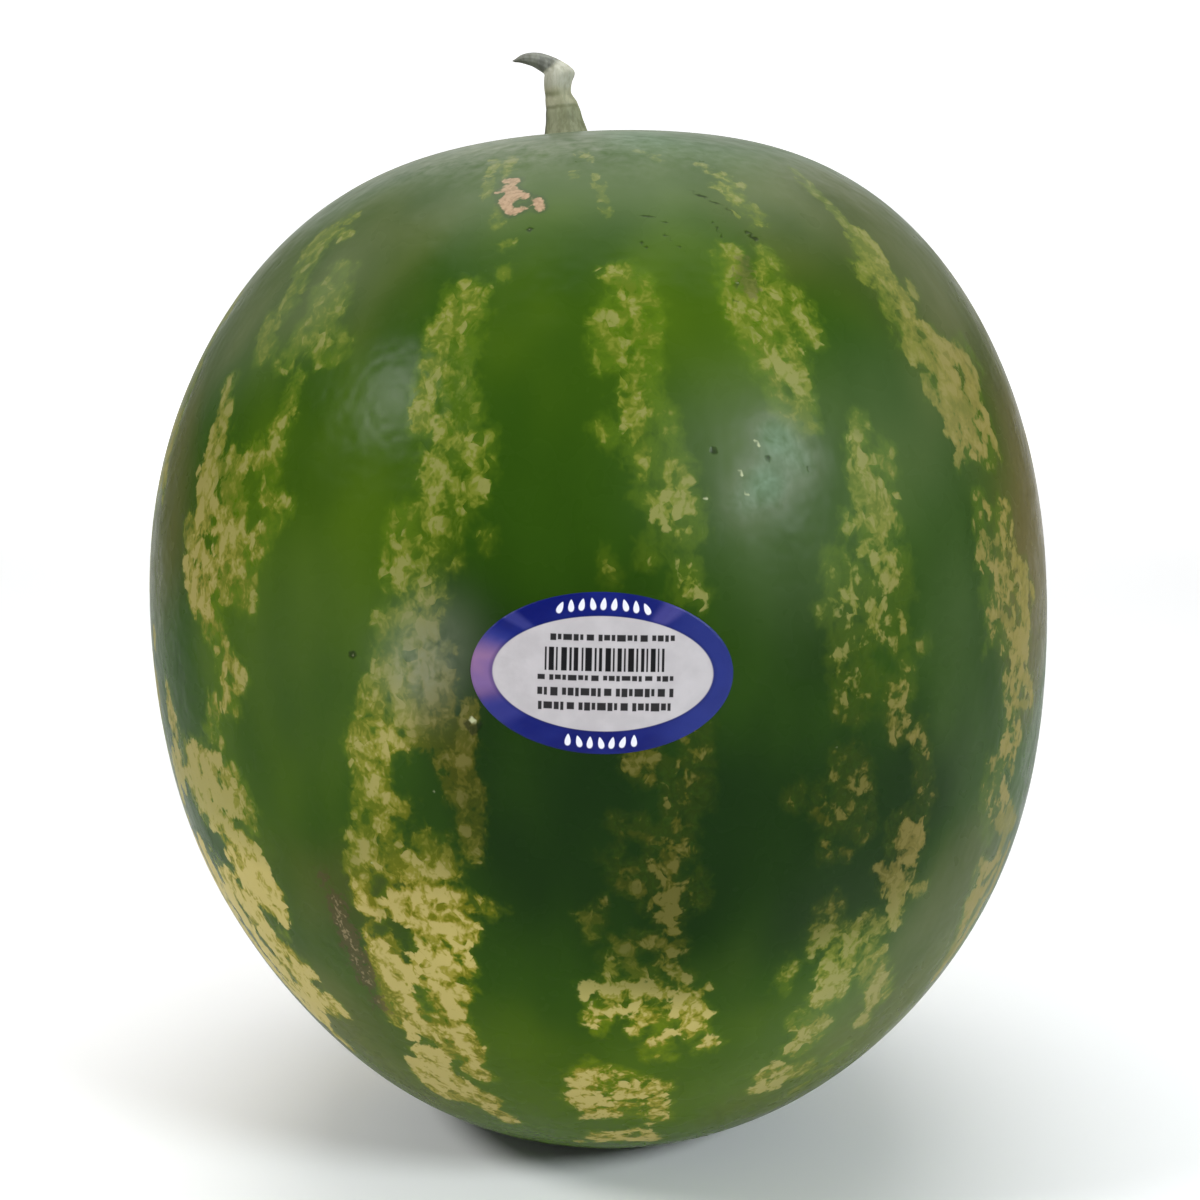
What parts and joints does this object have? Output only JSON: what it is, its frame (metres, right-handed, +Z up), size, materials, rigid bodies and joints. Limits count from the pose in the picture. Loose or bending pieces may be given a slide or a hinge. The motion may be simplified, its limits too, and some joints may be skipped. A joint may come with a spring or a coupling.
{
  "type": "watermelon",
  "caption": "Whole round-oblong watermelon with mottled stripes, a curled dry stem stub and an oval fruit sticker, standing on its flattened blossom end.",
  "frame": {"origin": "middle of the part's bounding box in X and Y, at the flat spot of the blossom end that the fruit stands on", "axes": "+Z up from the blossom end to the stem, -Y the side with the sticker, +X to the right of the sticker seen from in front; the stem tip curls towards -X"},
  "size_m": [0.2498, 0.2502, 0.3022],
  "materials": {
    "rind": "waxy natural rind, dark green with mottled pale yellow-green stripes, soft satin sheen",
    "stem": "dried grey-green plant stem, ribbed, matt, darker at the curled tip",
    "label": null
  },
  "bodies": {
    "root": {"melon_body": "rind", "stem": "stem", "label": "label"}
  },
  "joints": []
}
